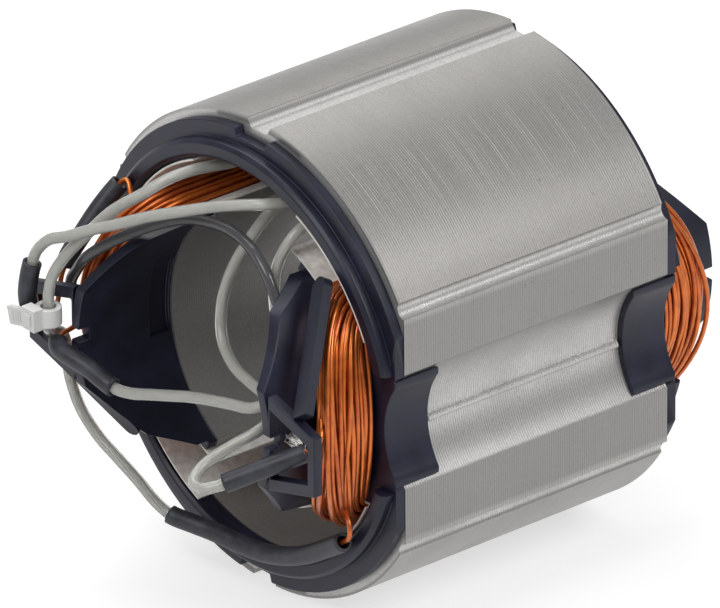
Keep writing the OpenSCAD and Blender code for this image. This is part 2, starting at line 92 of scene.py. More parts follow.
# Wire runs, as pole axis, height and distance along the bore towards the front, in millimetres.
# Each run goes from a coil through its sleeved splice into a lead and on to the lead's bare end.
RUNS = {
    1: [
        (-28, 19.5, 35.5), (-29.4, 22, 35.2), (-30.8, 23.6, 34.8), (-32, 22.8, 35.4), (-33.2, 18.8, 39),
        (-34, 14.2, 42.6), (-34.5, 11.2, 44.9), (-34.7, 9.2, 45.8), (-35.2, 7, 46.3),
        (-35.2, 4.6, 46.8), (-34.7, 1.9, 47.9), (-34.2, 0.3, 49.6), (-35, 1, 52.1), (-35.7, 2.8, 53),
        (-36, 5.5, 53.3), (-35.9, 8.5, 53), (-35.6, 11.4, 52.4), (-34.6, 14.1, 52), (-32, 16.9, 51.3),
        (-28, 18.8, 50.4), (-23.5, 21.2, 48.4), (-19, 23.3, 46.4), (-13.5, 26, 43.5),
        (-7.5, 28.4, 40.5), (-2, 30.6, 38.2), (3, 32.2, 36.2), (6.6, 33, 34), (8.3, 32.9, 30.5),
        (8.5, 32.5, 26), (8.5, 32.5, -26), (8, 32.3, -30.5), (5.5, 32, -34.5), (1.5, 31.8, -37),
        (-3, 31.5, -38),
    ],
    2: [
        (-30.3, 0, 42.5), (-29.9, -0.2, 46), (-30, -0.8, 49), (-30.1, -1.3, 50.6), (-29.7, -1.9, 51.6),
        (-28, -2.5, 52.6), (-24.8, -3, 52.4), (-21.4, -3.9, 51.6), (-16.2, -6.4, 50),
        (-12.3, -6.2, 49.3), (-8.3, -5.1, 48.5), (-3.8, -3.8, 47.7), (0.9, -2.4, 47), (6.8, -0.8, 46.7),
        (12.7, 0.6, 46.5), (17.3, 1.6, 46.1), (20.3, 3.6, 45.2), (21.3, 6.8, 43.7), (20.4, 10.2, 42),
        (17.6, 13, 40), (14.6, 15.8, 38.2), (12.4, 19.2, 36.8), (11.4, 23, 35.4), (12, 26.8, 33.6),
        (12.6, 29.6, 30.8), (12.8, 30.5, 26), (12.8, 30.5, -26), (12, 30.3, -31), (10, 29.4, -35),
        (6.5, 28.3, -38), (2.5, 27.8, -39.5),
    ],
    3: [
        (31.5, 3.5, 42), (33.5, 2.6, 43.6), (34.2, 0.6, 45), (33, -0.5, 46.5), (30.9, -1.9, 49),
        (26.1, -5.1, 55), (24, -6.5, 57.5), (23.4, -6.9, 58.2), (21, -7.9, 59.9), (18.2, -7.9, 59.6),
        (16.6, -6.8, 57), (16.9, -5.3, 53.7), (18.5, -3.3, 50.6), (20.2, -1.5, 47.6),
        (20.3, -0.1, 44.6), (18.4, 0.9, 42.2), (14.5, 1.4, 40.9), (9.5, 1.5, 40), (4.5, 2, 39.2),
        (0.5, 3.7, 38.2), (-2.2, 6.3, 37), (-3.5, 10.5, 35.6), (-2.8, 15.5, 34.6), (-0.5, 20.5, 34),
        (2.4, 25.4, 33.2), (3.8, 29, 31), (4, 30.5, 27), (4, 30.5, -26), (3, 30.3, -31), (0, 30, -34.5),
        (-4.5, 29.2, -36.8),
    ],
    4: [
        (29.3, -16.5, 35.5), (31.9, -18.2, 36.4), (32.4, -20.6, 36.7), (30.5, -22.5, 36.5),
        (26, -25.6, 36.1), (19, -30, 35.9), (12, -33, 35.9), (5, -34.5, 36.2), (-5, -34.5, 37.5),
        (-9, -34.2, 38.7), (-13.5, -33.8, 40), (-16.3, -32, 41.1), (-19.6, -28.9, 42.2),
        (-23.9, -25.6, 43.4), (-28.2, -22.8, 44.2), (-32.2, -18.6, 44.9), (-34.5, -13.6, 45.3),
        (-34.9, -9.4, 45.6), (-34.7, -6.2, 46), (-34.2, -3.6, 47.2), (-33.6, -2.3, 49.2),
        (-32.7, -1.1, 51.2), (-31, 0.5, 52.6), (-30.5, 2.2, 53), (-30.5, 5, 53), (-30.5, 8, 52.8),
        (-30.3, 11, 51.9), (-29, 14.6, 50), (-26.6, 18.6, 47.4), (-22.5, 24, 44.6), (-18, 28, 41.4),
        (-15, 31, 38), (-12.9, 32.3, 34.6), (-11.6, 32.5, 31), (-11, 32.2, 27), (-11, 32, 20),
        (-11, 32, -26), (-11, 32, -31), (-11.6, 31.6, -35.5), (-13, 31, -39.5),
    ],
}
# First and last point of each stretch of a run, and the point where its lead comes out of the splice
SLEEVED = {1: (12, 16), 2: (4, 8), 3: (3, 6), 4: (3, 10)}
SPLICED = {1: (13, 15), 2: (6, 7), 3: (4, 5), 4: (7, 9)}
LEAD_START = {1: 15, 2: 7, 3: 5, 4: 9}
TAIL_SLEEVED = (3, 7)
# Lead that goes from one side to the other over the top of the bore
LINK_RUN = [
    (-33, 2.4, 44.6), (-33, 6, 46), (-30.6, 9.8, 46.7), (-26.7, 14.3, 47), (-21.8, 18.6, 44.4),
    (-16.7, 22, 40.6), (-11, 24.6, 37.8), (-4, 26, 36.6), (3, 26.4, 36.9), (8.3, 25.4, 37.6),
    (12.4, 22.7, 38.1), (15.1, 18.8, 38.2), (18, 15.9, 38.2), (20.3, 12.6, 38.8),
]
# Strands: rings in a splice, each with its share of the core's radius and its count, swelled by solder,
# the strands in a core, the length of one turn round a splice and round a core in millimetres,
# and the steps along a lead's bare end
SPLICE_RINGS = ((0.75, 12), (0.4, 6))
SPLICE_SWELL = 1.1
CORE_STRANDS = 7
SPLICE_LAY, CORE_LAY = 7, 60
BARE_STEPS = 6
# Frayed strands of the third splice: count, places that they pass with the spread there in millimetres,
# and how far one strays from its own way as a share of that spread
FRAYED_COUNT, FRAYED_STRAY = 44, 0.35
FRAYED_WAY = (
    ((31.6, -1.3, 48.1), 0.4), ((32.2, -0.6, 47), 0.6), ((31.2, 0.6, 47), 0.9), ((29.6, 0.9, 47), 0.9),
    ((28.9, 0.6, 46.6), 0.7),
)
# Weld bead in each screw channel, in millimetres: pole axis, height, radius and half length, then its ribs
BEAD = (34.92, -1.5, 0.8, 21.5)
BEAD_RIB = 0.12
# Sheets' edges: a groove's half width as a share of the pitch, its depth and an edge's play in millimetres
GROOVE_SHARE, GROOVE_DEPTH, SHEET_PLAY = 0.12, 0.035, 0.015
# Zones of the stack's steel in millimetres, from where one begins to where it is whole: depth under the round
# outside and under the flats, radius about the bore's axis, distance from the upright plane, and height of
# the top, where the sheet lines are painted fainter as painted light.
# The painted highlight on a bead ends at a multiple of its radius.
GROUND_DEPTH, FLAT_DEPTH = (0.6, 0.2), (0.4, 0.1)
RIM_RADIUS, NOTCH_RADIUS, BORE_RADIUS = (41.5, 42.5), (43.6, 44), (26.2, 25.6)
CHANNEL_X, NOTCH_X, LIT_TOP_Z = (34, 34.5), (12, 11), (28, 42)
BEAD_FADE = 1.15
# Unevenness of a coil's turns: radius and sway in millimetres, level and rise as shares, lean in radians
RADIUS_PLAY, SWAY = 0.12, 0.55
LEVEL_PLAY, RISE_PLAY = 0.08, 0.06
LEAN = 0.16
# Least rise of a turn as a share of the coil's inner half, and points in a quarter of a turn
LEAST_RISE = 0.2
QUARTER = 16
# Share of the wire's diameter that is drawn, so that neighbouring turns stay apart
WIRE_SHOWN = 0.94
# Cable tie round the fourth lead, in millimetres: its centre as pole axis, height and distance towards the
# front, its loop as inner radius, outer radius and half width, and boxes about the centre for the rest
TIE_CENTRE = (-30.5, 3.4, 53)
TIE_LOOP = (1.4, 2.4, 1.7)
TIE_HEAD = ((-2.4, -2.1, 1.9), (1, 2.1, 4.1))
TIE_PAWL = ((-1.5, -1.1, 4), (0.2, 1.1, 4.4))
TIE_TAIL = ((0, -1.7, 2.4), (7.4, 1.7, 3.4))
TIE_TILT = math.radians(14)
TIE_ROUND = 0.22
# Teeth of the tie's tail: count, then their places and sizes in millimetres
TIE_TEETH = 7
TOOTH_START, TOOTH_PITCH, TOOTH_WIDTH, TOOTH_MARGIN = 1.6, 0.7, 0.35, 0.6
TOOTH_ROOT, TOOTH_TOP = 0.1, 0.12
# Lamps with their place and size in metres and their power in watts
LAMPS = {
    "top": ((-0.5, 0.1, 0.8), 0.6, 4.2),
    "front": ((0.05, -0.75, 0.75), 0.5, 4.6),
    "side": ((0.75, 0.2, 0.75), 0.4, 5.2),
}
# Strength of the white sky and of the floor's own light, and half of the floor's width in metres
SKY_STRENGTH = 0.36
FLOOR_GLOW = 0.62
FLOOR_HALF = 6
# Point that the camera looks at, in millimetres
CAMERA_AIM = (-3.65, -4.6, -0.13)


def length(label, about, value):
    """A length setting with its name, description and default."""
    return FloatProperty(name=label, description=about, default=value, unit="LENGTH")


def angle(label, about, degrees):
    """An angle setting with its name, description and default."""
    return FloatProperty(name=label, description=about, default=math.radians(degrees), subtype="ANGLE")


def colour(label, value):
    """A colour setting with its name and default."""
    return FloatVectorProperty(
        name=label, description=f"Colour of the {label.lower()}", subtype="COLOR",
        size=3, min=0, max=1, default=value,
    )


class StatorSizes(bpy.types.PropertyGroup):
    """Sizes of the stator's dressed pieces and place of its camera"""

    sheet_pitch: length("Sheet Pitch", "Thickness of one lamination", 0.5 * MM)
    edge_round: length("Edge Round", "Rounding of the moulded edges", 0.2 * MM)
    wire_d: length("Wire", "Diameter of the enamelled wire", 1.0 * MM)
    coil_inner: length("Coil Inside", "Inner radius of the coils", 28.4 * MM)
    coil_thick: length("Coil Thickness", "Radial thickness of the coils", 6.4 * MM)
    coil_rise: length("End Turn", "Height of the end turns over the stack", 13.7 * MM)
    coil_fan: length("End Fan", "How far the innermost turns stay back", 1.8 * MM)
    coil_low: length("Coil Inner Half", "Half height of the innermost turn", 17.1 * MM)
    coil_half: length("Coil Outer Half", "Half height of the whole coil", 23.5 * MM)
    coil_layers: IntProperty(name="Layers", description="Wires side by side in a coil", default=6, min=3)
    coil_rows: IntProperty(name="Rows", description="Wires above each other in a coil", default=11, min=4)
    lead_d: length("Lead", "Outer diameter of a lead", 2.1 * MM)
    core_d: length("Core", "Diameter of a lead's bare core", 1.2 * MM)
    core_len: length("Bare End", "Length of core bared at a lead's end", 4 * MM)
    strand_d: length("Strand", "Diameter of a core's strand", 0.42 * MM)
    frayed_d: length("Frayed Strand", "Diameter of a frayed strand", 0.22 * MM)
    sleeve_d: length("Sleeve", "Outer diameter of a sleeve", 3.5 * MM)
    sleeve_wall: length("Sleeve Wall", "Wall of a sleeve", 0.55 * MM)
    camera_distance: length("Camera Distance", "From the camera to the aim point", 2.4)
    camera_azimuth: angle("Azimuth", "Camera's angle round the stator", 50.9)
    camera_elevation: angle("Elevation", "Camera's angle over the floor", 27.2)
    camera_roll: angle("Roll", "Camera's turn about its own view", -0.53)
    camera_focus: FloatProperty(
        name="Focal Length", description="Lens in pixels of the photograph's width", default=13663
    )


class StatorColours(bpy.types.PropertyGroup):
    """Colours of the stator's finishes"""

    steel: colour("Steel", (0.445, 0.438, 0.43))
    steel_warm: colour("Ground Steel", (0.395, 0.372, 0.34))
    insulator: colour("Insulator", (0.008, 0.0085, 0.02))
    copper: colour("Copper", (0.86, 0.235, 0.036))
    copper_shade: colour("Copper Shade", (0.38, 0.07, 0.019))
    paper: colour("Paper", (0.88, 0.84, 0.8))
    sleeve: colour("Sleeve", (0.016, 0.017, 0.023))
    silicone: colour("Silicone", (0.88, 0.88, 0.83))
    # Painted shade: the lead over the bore is the same clear silicone, painted dark for the shaded bore it
    # crosses
    shaded_silicone: colour("Shaded Silicone", (0.1, 0.1, 0.105))
    tin: colour("Tin", (0.62, 0.61, 0.59))
    core: colour("Core", (0.48, 0.48, 0.46))
    nylon: colour("Nylon", (0.7, 0.7, 0.69))
    floor: colour("Floor", (0.45, 0.45, 0.45))


def sizes():
    return bpy.context.scene.stator_sizes


def colours():
    return bpy.context.scene.stator_colours


# Materials


class Finish:
    """A material whose nodes are added one by one and end in its Principled shader."""

    def __init__(self, name, base, roughness, metallic=0.0):
        self.material = bpy.data.materials.new(name)
        self.material.use_nodes = True
        self.tree = self.material.node_tree
        self.shader = self.tree.nodes["Principled BSDF"]
        self.set("Base Color", (*base, 1))
        self.set("Roughness", roughness)
        self.set("Metallic", metallic)
        self.place = self.node("ShaderNodeTexCoord").outputs["Object"]

    def set(self, socket, value):
        self.shader.inputs[socket].default_value = value

    def node(self, kind, settings=(), **inputs):
        n = self.tree.nodes.new(kind)
        for key, value in dict(settings).items():
            setattr(n, key, value)
        for key, value in inputs.items():
            self.feed(n.inputs[key.replace("_", " ")], value)
        return n

    def feed(self, socket, value):
        if isinstance(value, bpy.types.NodeSocket):
            self.tree.links.new(value, socket)
        else:
            socket.default_value = value

    def math(self, operation, a, b=0.0):
        n = self.node("ShaderNodeMath", {"operation": operation})
        self.feed(n.inputs[0], a)
        self.feed(n.inputs[1], b)
        return n.outputs[0]

    def reach(self, a, b):
        """Length of the diagonal of a and b."""
        return self.math("SQRT", self.math("ADD", self.math("MULTIPLY", a, a), self.math("MULTIPLY", b, b)))

    def noise(self, scale, detail):
        n = self.node("ShaderNodeTexNoise", Scale=scale, Detail=detail, Vector=self.place)
        return n.outputs["Fac"]

    def ramp(self, fac, low, high):
        """Stretches fac from low..high to 0..1."""
        n = self.node("ShaderNodeMapRange", Value=fac, From_Min=low, From_Max=high)
        return n.outputs["Result"]

    def zone(self, distance, limits):
        """Mask that goes from 0 to 1 between two limits in millimetres."""
        return self.ramp(distance, *(limit * MM for limit in limits))

    def between(self, fac, low, high):
        """Takes fac from 0..1 to low..high."""
        n = self.node("ShaderNodeMapRange", Value=fac, To_Min=low, To_Max=high)
        return n.outputs["Result"]

    def mix(self, fac, a, b):
        n = self.node("ShaderNodeMix", {"data_type": "RGBA"})
        self.feed(n.inputs["Factor"], fac)
        for key, value in (("A", a), ("B", b)):
            self.feed(n.inputs[key], value if isinstance(value, bpy.types.NodeSocket) else (*value, 1))
        return n.outputs["Result"]

    def bump(self, height, distance, strength=1.0):
        n = self.node("ShaderNodeBump", Height=height, Distance=distance, Strength=strength)
        self.tree.links.new(n.outputs["Normal"], self.shader.inputs["Normal"])

    def link(self, output, socket):
        self.tree.links.new(output, self.shader.inputs[socket])


def shade(rgb, factor):
    return tuple(min(1.0, c * factor) for c in rgb)


def steel_zones(f):
    """Masks of the stack: ground outside, flats and notch walls with painted shade, channels, grooves and
    beads with painted light, and the bore and lit top with fainter sheet lines, painted light on the top.
    """
    axes = f.node("ShaderNodeSeparateXYZ", Vector=f.place).outputs
    x, z = f.math("ABSOLUTE", axes["X"]), axes["Z"]
    radius = f.reach(x, z)
    ground = f.ramp(radius, *(STACK_HIGH[2] - depth * MM for depth in GROUND_DEPTH))
    outer = f.ramp(x, *(STACK_HIGH[0] - depth * MM for depth in FLAT_DEPTH))
    rim = f.zone(radius, RIM_RADIUS)
    groove = f.math("SUBTRACT", rim, f.math("MAXIMUM", ground, outer))
    # Walls of the top notch, which carry painted shade beside the groove's lit floor
    notch = f.math("MULTIPLY", f.zone(x, NOTCH_X), f.zone(radius, NOTCH_RADIUS))
    notch = f.math("MULTIPLY", groove, notch)
    # Mask of the weld bead, which carries a painted highlight
    bead_x, bead_z, bead_r, _ = (value * MM for value in BEAD)
    to_bead = f.reach(f.math("SUBTRACT", x, bead_x), f.math("SUBTRACT", z, bead_z))
    bead = f.ramp(to_bead, bead_r * BEAD_FADE, bead_r)
    # The top of the round outside, where the sheet lines are painted fainter as painted light from above
    top = f.math("MULTIPLY", ground, f.zone(z, LIT_TOP_Z))
    return {
        "ground": ground,
        # Flats, which carry painted shade
        "flat": f.math("SUBTRACT", outer, ground),
        # Screw channels, which carry painted light
        "channel": f.math("SUBTRACT", f.zone(x, CHANNEL_X), f.math("MAXIMUM", rim, outer)),
        # Grooves outside the notch's walls and the weld beads, which carry a painted highlight
        "bright": f.math("MAXIMUM", f.math("SUBTRACT", groove, notch), bead),
        # Notch walls, which carry painted shade
        "notch": notch,
        # Fainter sheet lines in the bore and, as painted light, on the lit top
        "rubbed": f.math("MAXIMUM", f.zone(radius, BORE_RADIUS), top),
    }


def steel_finish():
    """Stacked electrical steel: grainy outside, painted shade on the flats and the notch's walls, painted
    light on the channels, grooves and beads, a line at each sheet's edge and dark specks.
    """
    base = colours().steel
    f = Finish("stacked_steel", base, 0.42, 0.72)
    zones = steel_zones(f)
    along = f.node("ShaderNodeSeparateXYZ", Vector=f.place).outputs["Y"]
    sheet = f.math("DIVIDE", f.math("SUBTRACT", along, STACK_LOW[1]), sizes().sheet_pitch)
    from_middle = f.math("ABSOLUTE", f.math("SUBTRACT", f.math("FRACT", sheet), 0.5))
    seam = f.ramp(from_middle, 0.25, 0.5)
    number = f.math("FLOOR", sheet)
    tone = f.node("ShaderNodeTexWhiteNoise", {"noise_dimensions": "1D"}, W=number).outputs["Value"]
    patches = f.noise(90, 5)
    grain = f.noise(3000, 3)
    specks = f.noise(1700, 2)
    grey = f.mix(f.between(tone, 0, 0.08), shade(base, 1.08), shade(base, 0.62))
    grey = f.mix(f.math("MULTIPLY", zones["ground"], 0.45), grey, colours().steel_warm[:])
    for mask, weight, factor in (
        # Painted shade: the flats are darkened for the darker surroundings that they mirror
        (zones["flat"], 0.6, 0.45),
        # Painted light: the channels are lightened for the bright floor that they mirror
        (zones["channel"], 0.7, 1.5),
        # Sheet lines painted fainter on the lit top as painted light, and fainter in the bore
        (seam, f.between(zones["rubbed"], 0.6, 0.15), 0.4),
        # Painted highlight: grooves and weld beads lightened where light from above catches them
        (zones["bright"], 0.6, 1.7),
        # Painted shade: the notch's walls are darkened beside the lit groove
        (zones["notch"], 0.6, 0.3),
        (f.ramp(patches, 0.45, 0.75), 0.3, 0.66),
        (f.ramp(grain, 0.35, 0.7), 0.35, 0.5),
        (f.ramp(specks, 0.69, 0.76), 0.45, 0.25),
    ):
        grey = f.mix(f.math("MULTIPLY", mask, weight), grey, shade(base, factor))
    f.link(grey, "Base Color")
    f.link(f.between(patches, 0.26, 0.46), "Roughness")
    step = f.math("SUBTRACT", f.math("MULTIPLY", tone, 0.5), seam)
    f.bump(step, 0.03 * MM, 0.4)
    return f.material


def insulator_finish():
    """Black glass-filled nylon with a fine grain and paler rubbed patches."""
    base = colours().insulator
    f = Finish("black_moulding", base, 0.42)
    cloud = f.noise(160, 4)
    f.link(f.mix(f.ramp(cloud, 0.4, 0.8), base, shade(base, 2.2)), "Base Color")
    f.link(f.between(cloud, 0.3, 0.52), "Roughness")
    f.set("Specular IOR Level", 0.36)
    f.bump(f.noise(2600, 3), 0.03 * MM, 0.35)
    return f.material


def copper_finish():
    """Enamelled wire: a glossy coat over copper, darker on some turns."""
    c = colours()
    f = Finish("enamelled_copper", c.copper, 0.34, 0.7)
    turn = f.node("ShaderNodeAttribute", {"attribute_name": "turn"}).outputs["Fac"]
    streak = f.noise(420, 3)
    streaked = f.math("MULTIPLY", f.ramp(streak, 0.35, 0.75), 0.45)
    tone = f.math("ADD", f.math("MULTIPLY", turn, 0.55), streaked)
    f.link(f.mix(tone, c.copper, c.copper_shade), "Base Color")
    f.set("Coat Weight", 0.3)
    f.set("Coat Roughness", 0.12)
    return f.material


def paper_finish():
    """Pressed insulation paper with fibres."""
    base = colours().paper
    f = Finish("liner_paper", base, 0.8)
    fibre = f.noise(700, 6)
    f.link(f.mix(f.ramp(fibre, 0.35, 0.7), shade(base, 0.85), shade(base, 1.15)), "Base Color")
    f.bump(fibre, 0.05 * MM, 0.5)
    return f.material


def sleeve_finish():
    """Black sleeving with a soft sheen and slight wrinkles."""
    base = colours().sleeve
    f = Finish("black_sleeving", base, 0.5)
    wrinkle = f.noise(480, 3)
    f.link(f.mix(f.ramp(wrinkle, 0.4, 0.75), base, shade(base, 2.6)), "Base Color")
    f.link(f.between(wrinkle, 0.36, 0.6), "Roughness")
    f.bump(wrinkle, 0.06 * MM, 0.5)
    return f.material


def silicone_finish(name, base, clear):
    """Translucent silicone that lets its tinned core show."""
    f = Finish(name, base, 0.14)
    haze = f.noise(260, 4)
    f.link(f.mix(f.ramp(haze, 0.4, 0.72), shade(base, 1.02), shade(base, 0.94)), "Base Color")
    f.link(f.between(haze, 0.08, 0.2), "Roughness")
    f.set("Transmission Weight", clear)
    f.set("IOR", 1.41)
    return f.material


def tin_finish(name, base, roughness):
    """Tinned strands, bright where they are soldered."""
    f = Finish(name, base, roughness, 0.9)
    blot = f.noise(1200, 3)
    f.link(f.mix(f.ramp(blot, 0.4, 0.7), shade(base, 1.2), shade(base, 0.6)), "Base Color")
    f.bump(blot, 0.05 * MM, 0.5)
    return f.material


def nylon_finish():
    """Natural nylon of the cable tie."""
    base = colours().nylon
    f = Finish("natural_nylon", base, 0.35)
    haze = f.noise(240, 3)
    f.link(f.mix(haze, shade(base, 0.92), shade(base, 1.06)), "Base Color")
    f.set("Subsurface Weight", 0.3)
    f.set("Subsurface Radius", (1 * MM, 1 * MM, 1 * MM))
    return f.material


def dress(obj, material):
    obj.data.materials.clear()
    obj.data.materials.append(material)


def settle(obj, slot, *nodes):
    """Ties a finished piece to the stator's body and hides the nodes that it stands for; the slot is not
    used.
    """
    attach(obj, BODY)
    if nodes:
        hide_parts(*nodes)
    return obj


# Wire runs


def in_frame(point):
    """A point of a run, in the frame's metres."""
    pole, height, front = point
    return Vector((pole, -front, height)) * MM


def knots(run):
    """Each point of a run, between its handles before and after. All stretches of a run share this line."""
    points = [in_frame(p) for p in run]
    line = []
    for i, p in enumerate(points):
        before, after = points[max(i - 1, 0)], points[min(i + 1, len(points) - 1)]
        way = (after - before).normalized()
        back, on = (p - before).length / 3, (after - p).length / 3
        line.append((p - way * (back or on), p, p + way * (on or back)))
    return line


def add_stretch(curve, run, first, last):
    """Adds one open spline through a stretch of a run."""
    spline = curve.splines.new("BEZIER")
    spline.bezier_points.add(last - first)
    for knot, (back, point, on) in zip(spline.bezier_points, knots(run)[first:last + 1]):
        knot.handle_left_type = knot.handle_right_type = "FREE"
        knot.co, knot.handle_left, knot.handle_right = point, back, on


def walk(run, first, last, step):
    """Points about a step apart along a stretch of a run."""
    line = knots(run)[first:last + 1]
    points = []
    for (_, a, on), (back, b, _) in zip(line, line[1:]):
        count = max(2, round((b - a).length / step) + 1)
        points += interpolate_bezier(a, on, back, b, count)[:-1]
    return points + [line[-1][1]]


def add_line(curve, points, closed=False):
    """Adds one straight-sided spline through points."""
    spline = curve.splines.new("POLY")
    spline.points.add(len(points) - 1)
    for knot, p in zip(spline.points, points):
        knot.co = (*p, 1)
    spline.use_cyclic_u = closed


def add_strands(curve, points, radius, count, lay):
    """Adds strands that wind round a line of points, once in each length of lay."""
    side, gone, strands = None, 0.0, [[] for _ in range(count)]
    for i, p in enumerate(points):
        way = (points[min(i + 1, len(points) - 1)] - points[max(i - 1, 0)]).normalized()
        side = (side - way * side.dot(way)).normalized() if side else way.orthogonal().normalized()
        gone += (p - points[max(i - 1, 0)]).length
        for k, strand in enumerate(strands):
            turn = 2 * math.pi * (k / count + gone / lay)
            strand.append(p + radius * (side * math.cos(turn) + way.cross(side) * math.sin(turn)))
    for strand in strands:
        add_line(curve, strand)


def round_curve(name, radius, roundness=4, capped=True):
    """A curve with a round section, ready for splines."""
    curve = bpy.data.curves.new(name, "CURVE")
    curve.dimensions = "3D"
    curve.bevel_depth = radius
    curve.bevel_resolution = roundness
    curve.resolution_u = 8
    curve.use_fill_caps = capped
    return curve


def add_object(name, data):
    obj = bpy.data.objects.new(name, data)
    bpy.context.scene.collection.objects.link(obj)
    return obj


def mesh_of_curve(name, curve):
    """The mesh of a curve, as a new object with smooth faces."""
    carrier = add_object(name + "_line", curve)
    graph = bpy.context.evaluated_depsgraph_get()
    mesh = bpy.data.meshes.new_from_object(carrier.evaluated_get(graph))
    bpy.data.objects.remove(carrier)
    mesh.name = name
    mesh.polygons.foreach_set("use_smooth", [True] * len(mesh.polygons))
    return add_object(name, mesh)


def smooth_faces(mesh, sharp):
    """Shades a changed CAD copy smooth, apart from edges over the sharp angle, without its stored normals."""
    stored = mesh.attributes.get("custom_normal")
    if stored:
        mesh.attributes.remove(stored)
    mesh.polygons.foreach_set("use_smooth", [True] * len(mesh.polygons))
    mesh.set_sharp_from_angle(angle=math.radians(sharp))


def round_edges(obj, width, segments):
    """Rounds a piece's sharp edges and shades the rest smooth."""
    obj.data.polygons.foreach_set("use_smooth", [True] * len(obj.data.polygons))
    bevel = obj.modifiers.new("edges", "BEVEL")
    bevel.width = width
    bevel.segments = segments
    bevel.limit_method = "ANGLE"
    bevel.angle_limit = SHARP_EDGE
    bevel.harden_normals = True


# Laminations


def rim_of(faces):
    """Edges on the border of a set of faces."""
    return [e for f in faces for e in f.edges if sum(g in faces for g in e.link_faces) == 1]


def loops_of(edges):
    """Closed rows of vertices that a set of edges makes."""
    left, loops = set(edges), []
    while left:
        edge = left.pop()
        start, vert = edge.verts
        loop = [start]
        while vert is not start:
            loop.append(vert)
            edge = next(e for e in vert.link_edges if e in left)
            left.remove(edge)
            vert = edge.other_vert(vert)
        loops.append(loop)
    return loops


def outward(points):
    """Directions in the sheet's plane that point away from a closed outline, one for each point."""
    turn = sum(a.x * b.z - b.x * a.z for a, b in zip(points, points[1:] + points[:1]))
    out = []
    for before, after in zip(points[-1:] + points[:-1], points[1:] + points[:1]):
        way = after - before
        side = Vector((way.z, 0, -way.x)).normalized()
        out.append(side if turn > 0 else -side)
    return out


def sweep(bm, row, levels):
    """Extrudes a closed row of vertices along the bore and returns its last row.

    Each level is a place along the bore and a step outwards from the first outline.
    """
    outline = [v.co.copy() for v in row]
    out = outward(outline)
    edges = [e for a, b in zip(row, row[1:] + row[:1]) for e in a.link_edges if e.other_vert(a) is b]
    for y, step in levels:
        made = bmesh.ops.extrude_edge_only(bm, edges=edges)["geom"]
        fresh = {g for g in made if isinstance(g, bmesh.types.BMVert)}
        edges = [g for g in made if isinstance(g, bmesh.types.BMEdge) and fresh.issuperset(g.verts)]
        row = [next(e.other_vert(v) for e in v.link_edges if e.other_vert(v) in fresh) for v in row]
        for vert, place, way in zip(row, outline, out):
            vert.co = place + way * step
            vert.co.y = y
    return row


# Coils


def share(value):
    """A value kept from 0 to 1."""
    return min(1, max(0, value))


def turn_points(layer, row, rng):
    """Points of one closed turn round the right-hand pole."""
    s = sizes()
    pitch = s.coil_thick / s.coil_layers
    radius = s.coil_inner + pitch * (layer + 0.5) + rng.uniform(-RADIUS_PLAY, RADIUS_PLAY) * MM
    level = row / (s.coil_rows - 1)
    room = s.coil_half - s.wire_d / 2 - s.coil_low
    top, bottom = (s.coil_low + room * share(level + rng.uniform(-LEVEL_PLAY, LEVEL_PLAY)) for _ in range(2))
    back = s.coil_fan * (1 - layer / (s.coil_layers - 1))
    top -= back * level
    least = s.coil_low * LEAST_RISE
    most = s.coil_rise - s.wire_d / 2 - back
    points = []
    for front in (1, -1):
        rise = least + (most - least) * share(level + rng.uniform(-RISE_PLAY, RISE_PLAY))
        lean, sway = rng.uniform(-LEAN, LEAN), rng.uniform(0, SWAY) * MM
        phase = rng.uniform(0, 2 * math.pi)
        for step in range(2 * QUARTER + 1):
            turn = math.pi * step / (2 * QUARTER)
            widest = top if (turn < math.pi / 2) == (front > 0) else bottom
            height = widest * math.cos(turn) * front
            lift = rise * max(0, math.sin(turn + lean * math.sin(turn)))
            r = radius + sway * math.sin(3 * turn + phase) * math.sin(turn)
            along = front * (HALF_STACK + lift)
            points.append(Vector((math.sqrt(r * r - height * height), -along, height)))
    return points


def coil_object(name, side, tails):
    """One coil of separate turns with its two tails; side is 1 on the right pole and -1 on the left."""
    s = sizes()
    rng = random.Random(COIL_SEED + side)
    curve = round_curve(name, s.wire_d / 2 * WIRE_SHOWN, 2)
    curve.resolution_u = 6
    for layer in range(s.coil_layers):
        for row in range(s.coil_rows):
            points = turn_points(layer, row, rng)
            add_line(curve, [(side * p.x, p.y, side * p.z) for p in points], closed=True)
    for number in tails:
        add_stretch(curve, RUNS[number], 0, SPLICED[number][0])
    return mesh_of_curve(name, curve)


def number_turns(obj):
    """Gives each turn of wire its own value, so that turns differ in tone."""
    bm = bmesh.new()
    bm.from_mesh(obj.data)
    layer = bm.verts.layers.float.new("turn")
    rng = random.Random(TONE_SEED)
    seen = set()
    for start in bm.verts:
        if start in seen:
            continue
        tone, ahead = rng.random(), [start]
        seen.add(start)
        while ahead:
            v = ahead.pop()
            v[layer] = tone
            for edge in v.link_edges:
                other = edge.other_vert(v)
                if other not in seen:
                    seen.add(other)
                    ahead.append(other)
    bm.to_mesh(obj.data)
    bm.free()


# Operators


